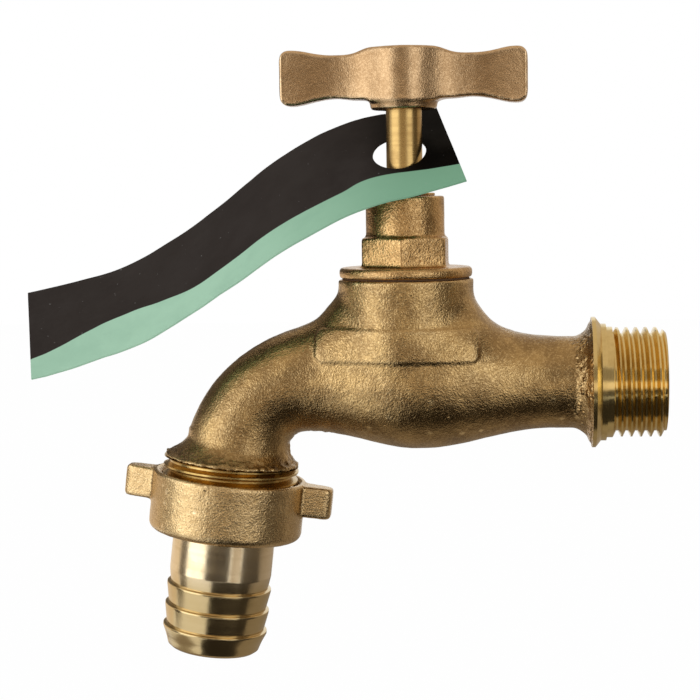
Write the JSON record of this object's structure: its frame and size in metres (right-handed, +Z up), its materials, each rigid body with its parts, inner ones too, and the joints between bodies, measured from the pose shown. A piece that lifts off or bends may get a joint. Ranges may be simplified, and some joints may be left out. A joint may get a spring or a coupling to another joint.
{
  "type": "hose bibb",
  "caption": "Outdoor brass tap with a screw-down spindle, a T-shaped handle, a male pipe inlet and a union nut that holds a barbed hose tail; a plastic strip hangs on the spindle.",
  "frame": {"origin": "centre of the inlet's end face, on the inlet's axis", "axes": "+X out of the inlet towards the wall, +Z up along the spindle, +Y towards the back seen from the name panel"},
  "size_m": [0.1273, 0.03, 0.1176],
  "materials": {
    "cast_brass": "sand-cast, rough",
    "handle_brass": "cast and tumbled, satin",
    "nut_brass": "cast and blasted, matt",
    "turned_brass": "turned, polished",
    "rubber": "matt",
    "fibre": "matt, pressed fibre",
    "graphite": "matt, pressed graphite",
    "printed_plastic": "printed film, half gloss"
  },
  "bodies": {
    "tap_body": {"body": "cast_brass", "bonnet": "cast_brass", "bonnet_gasket": "fibre", "packing_washer": "turned_brass", "packing_ring_1": "graphite", "packing_ring_2": "graphite", "packing_ring_3": "graphite", "gland_screw": "cast_brass"},
    "jumper": {"jumper": "turned_brass", "jumper_clip": "turned_brass", "seat_washer": "rubber", "washer_nut": "turned_brass"},
    "spindle": {"spindle": "turned_brass", "handle": "handle_brass", "handle_screw": "turned_brass"},
    "tail_washer": {"tail_washer": "rubber"},
    "union_nut": {"union_nut": "nut_brass"},
    "hose_tail": {"hose_tail": "turned_brass"},
    "hang_tag": {"hang_tag": "printed_plastic"}
  },
  "joints": [
    {"name": "jumper_lift", "type": "slide", "parent": "tap_body", "child": "jumper", "axis": [0, 0, 1], "range_m": [0, 0.005]},
    {"name": "spindle_turn", "type": "hinge", "parent": "jumper", "child": "spindle", "pos_m": [-0.04935, 0, 0], "axis": [0, 0, 1], "range_deg": [0, 900]},
    {"name": "tail_drop", "type": "slide", "parent": "tap_body", "child": "tail_washer", "axis": [-0.1219, 0, -0.9925], "range_m": [0, 0.00635]},
    {"name": "union_nut_turn", "type": "hinge", "parent": "tail_washer", "child": "union_nut", "pos_m": [-0.08352, 0, -0.0119], "axis": [-0.1219, 0, -0.9925], "range_deg": [0, 1260]},
    {"name": "tail_swivel", "type": "hinge", "parent": "tail_washer", "child": "hose_tail", "pos_m": [-0.08352, 0, -0.0119], "axis": [-0.1219, 0, -0.9925], "continuous": true},
    {"name": "tag_swivel", "type": "hinge", "parent": "tap_body", "child": "hang_tag", "pos_m": [-0.04935, 0, 0], "axis": [0, 0, 1], "continuous": true}
  ],
  "couplings": [
    {"joint": "jumper_lift", "follows": "spindle_turn", "m_per_rad": 0.0003183},
    {"joint": "tail_drop", "follows": "union_nut_turn", "m_per_rad": 0.0002887}
  ]
}
